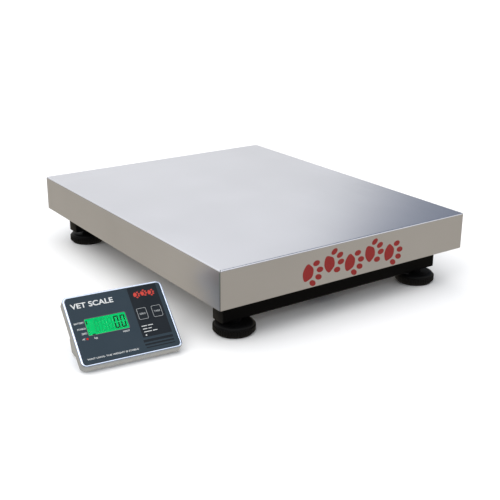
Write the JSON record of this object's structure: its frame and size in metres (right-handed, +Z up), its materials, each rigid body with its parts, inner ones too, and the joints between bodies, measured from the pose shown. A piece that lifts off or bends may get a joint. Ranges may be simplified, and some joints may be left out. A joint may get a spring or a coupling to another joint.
{
  "type": "platform weighing scale",
  "caption": "Low platform scale for weighing animals: a stainless steel pan on a black frame with levelling feet, and a separate tilted indicator with a lit display.",
  "frame": {"origin": "on the floor under the middle of the box round the platform and the indicator together", "axes": "+X to the right along the platform's narrower front side, +Y to the back, +Z up"},
  "size_m": [0.6994, 0.617, 0.127],
  "materials": {
    "brushed_steel": "fine-grained brushed stainless sheet",
    "black_paint": "semi-matt black powder coat",
    "black_plastic": "moulded black plastic",
    "black_rubber": "matt black rubber",
    "zinc_plate": "bright zinc-plated steel",
    "mill_aluminium": "machined aluminium",
    "slate_film": "printed polyester film, slate grey",
    "dark_film": "printed polyester film, dark slate",
    "clear_acrylic": "clear acrylic window",
    "lit_display": "backlit green display",
    "circuit_board": "circuit board",
    "red_lens": "red indicator lens",
    "battery_wrap": "shrink-wrapped battery"
  },
  "bodies": {
    "base": {"base_front_beam": "black_paint", "base_rear_beam": "black_paint", "base_spine": "black_paint", "base_cable_gland": "black_plastic", "lower_spacer": "zinc_plate", "load_cell": "mill_aluminium", "lower_cell_bolt_1": "zinc_plate", "lower_cell_bolt_2": "zinc_plate", "overload_stop_front_left": "zinc_plate", "overload_stop_front_right": "zinc_plate", "overload_stop_rear_left": "zinc_plate", "overload_stop_rear_right": "zinc_plate", "lock_nut_front_left": "zinc_plate", "lock_nut_front_right": "zinc_plate", "lock_nut_rear_left": "zinc_plate", "lock_nut_rear_right": "zinc_plate"},
    "upper_frame": {"upper_front_beam": "black_paint", "upper_rear_beam": "black_paint", "upper_spine": "black_paint", "upper_spacer": "zinc_plate", "upper_cell_bolt_1": "zinc_plate", "upper_cell_bolt_2": "zinc_plate", "pan_bumper_front_left": "black_rubber", "pan_bumper_front_right": "black_rubber", "pan_bumper_rear_left": "black_rubber", "pan_bumper_rear_right": "black_rubber"},
    "pan": {"pan_cover": "brushed_steel"},
    "indicator": {"front_tray": "brushed_steel", "rear_housing": "brushed_steel", "face_overlay": "slate_film", "display_window": "clear_acrylic", "display_module": "lit_display", "main_board": "circuit_board", "power_led": "red_lens", "battery_pack": "battery_wrap", "zero_key_switch": "black_plastic", "tare_key_switch": "black_plastic", "housing_screw_1": "zinc_plate", "housing_screw_2": "zinc_plate", "housing_screw_3": "zinc_plate", "housing_screw_4": "zinc_plate", "indicator_cable_gland": "black_plastic", "power_socket": "black_plastic", "rubber_runner_left": "black_rubber", "rubber_runner_right": "black_rubber"},
    "zero_key": {"zero_key": "dark_film"},
    "tare_key": {"tare_key": "dark_film"},
    "foot_pad_front_left": {"foot_pad_front_left": "black_rubber"},
    "foot_screw_front_left": {"foot_disc_front_left": "black_plastic", "foot_stud_front_left": "zinc_plate"},
    "foot_pad_front_right": {"foot_pad_front_right": "black_rubber"},
    "foot_screw_front_right": {"foot_disc_front_right": "black_plastic", "foot_stud_front_right": "zinc_plate"},
    "foot_pad_rear_left": {"foot_pad_rear_left": "black_rubber"},
    "foot_screw_rear_left": {"foot_disc_rear_left": "black_plastic", "foot_stud_rear_left": "zinc_plate"},
    "foot_pad_rear_right": {"foot_pad_rear_right": "black_rubber"},
    "foot_screw_rear_right": {"foot_disc_rear_right": "black_plastic", "foot_stud_rear_right": "zinc_plate"}
  },
  "joints": [
    {"name": "weighing_travel", "type": "slide", "parent": "base", "child": "upper_frame", "axis": [0, 0, 1], "range_m": [-0.0008, 0], "stiffness_N_per_m": 1500000, "springref_m": 0.00007, "deforming": ["load_cell"]},
    {"name": "pan_lift", "type": "slide", "parent": "upper_frame", "child": "pan", "axis": [0, 0, 1], "range_m": [0, 0.15]},
    {"name": "indicator_lift", "type": "slide", "parent": "base", "child": "indicator", "axis": [0, 0, 1], "range_m": [0, 0.15]},
    {"name": "zero_key_press", "type": "slide", "parent": "indicator", "child": "zero_key", "axis": [-0.0734, -0.6651, 0.7431], "range_m": [-0.0004, 0], "stiffness_N_per_m": 3000, "springref_m": 0.0001},
    {"name": "tare_key_press", "type": "slide", "parent": "indicator", "child": "tare_key", "axis": [-0.0734, -0.6651, 0.7431], "range_m": [-0.0004, 0], "stiffness_N_per_m": 3000, "springref_m": 0.0001},
    {"name": "foot_travel_front_left", "type": "slide", "parent": "base", "child": "foot_pad_front_left", "axis": [0, 0, 1], "range_m": [-0.008, 0]},
    {"name": "foot_turn_front_left", "type": "hinge", "parent": "foot_pad_front_left", "child": "foot_screw_front_left", "pos_m": [-0.09235, -0.259, 0.01], "axis": [0, 0, 1], "range_deg": [-1645, 0]},
    {"name": "foot_travel_front_right", "type": "slide", "parent": "base", "child": "foot_pad_front_right", "axis": [0, 0, 1], "range_m": [-0.008, 0]},
    {"name": "foot_turn_front_right", "type": "hinge", "parent": "foot_pad_front_right", "child": "foot_screw_front_right", "pos_m": [0.29165, -0.259, 0.01], "axis": [0, 0, 1], "range_deg": [-1645, 0]},
    {"name": "foot_travel_rear_left", "type": "slide", "parent": "base", "child": "foot_pad_rear_left", "axis": [0, 0, 1], "range_m": [-0.008, 0]},
    {"name": "foot_turn_rear_left", "type": "hinge", "parent": "foot_pad_rear_left", "child": "foot_screw_rear_left", "pos_m": [-0.09235, 0.259, 0.01], "axis": [0, 0, 1], "range_deg": [-1645, 0]},
    {"name": "foot_travel_rear_right", "type": "slide", "parent": "base", "child": "foot_pad_rear_right", "axis": [0, 0, 1], "range_m": [-0.008, 0]},
    {"name": "foot_turn_rear_right", "type": "hinge", "parent": "foot_pad_rear_right", "child": "foot_screw_rear_right", "pos_m": [0.29165, 0.259, 0.01], "axis": [0, 0, 1], "range_deg": [-1645, 0]}
  ],
  "couplings": [
    {"joint": "foot_travel_front_left", "follows": "foot_turn_front_left", "m_per_rad": 0.00027852},
    {"joint": "foot_travel_front_right", "follows": "foot_turn_front_right", "m_per_rad": 0.00027852},
    {"joint": "foot_travel_rear_left", "follows": "foot_turn_rear_left", "m_per_rad": 0.00027852},
    {"joint": "foot_travel_rear_right", "follows": "foot_turn_rear_right", "m_per_rad": 0.00027852}
  ]
}
